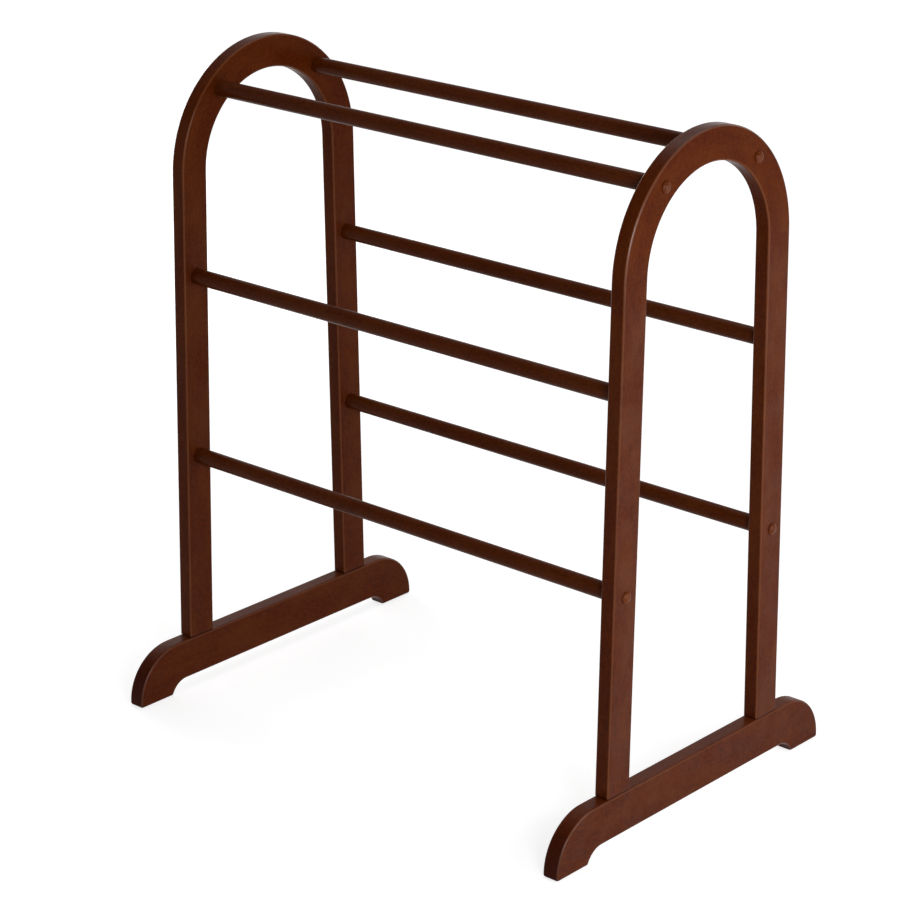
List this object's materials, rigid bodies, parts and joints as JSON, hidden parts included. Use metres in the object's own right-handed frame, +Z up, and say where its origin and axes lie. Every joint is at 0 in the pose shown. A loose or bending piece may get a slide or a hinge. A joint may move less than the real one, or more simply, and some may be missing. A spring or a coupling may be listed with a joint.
{
  "type": "quilt rack",
  "caption": "Free-standing wooden quilt rack: arched end frames on curved-toe feet, tied together by round rails in front and back pairs.",
  "frame": {"origin": "on the floor under the middle of the rack", "axes": "+X along the rails to the right end frame, +Y from front to back, +Z up"},
  "size_m": [0.671, 0.474, 0.775],
  "materials": {
    "frame_wood": "dark reddish walnut stain under satin lacquer",
    "rail_wood": "dark reddish walnut stain under satin lacquer",
    "plug_wood": "end-grain plug, stained and lacquered",
    "pin_wood": "bare beech",
    "screw_steel": "bright zinc plate"
  },
  "bodies": {
    "root": {"left_foot": "frame_wood", "right_foot": "frame_wood", "left_front_post": "frame_wood", "left_back_post": "frame_wood", "right_front_post": "frame_wood", "right_back_post": "frame_wood", "left_arch": "frame_wood", "right_arch": "frame_wood", "top_front_rail": "rail_wood", "top_back_rail": "rail_wood", "middle_front_rail": "rail_wood", "middle_back_rail": "rail_wood", "lower_front_rail": "rail_wood", "lower_back_rail": "rail_wood", "left_arch_dowels": "pin_wood", "right_arch_dowels": "pin_wood", "left_foot_dowels": "pin_wood", "right_foot_dowels": "pin_wood", "left_rail_screws": "screw_steel", "right_rail_screws": "screw_steel", "left_button_plugs": "plug_wood", "right_button_plugs": "plug_wood"}
  },
  "joints": []
}
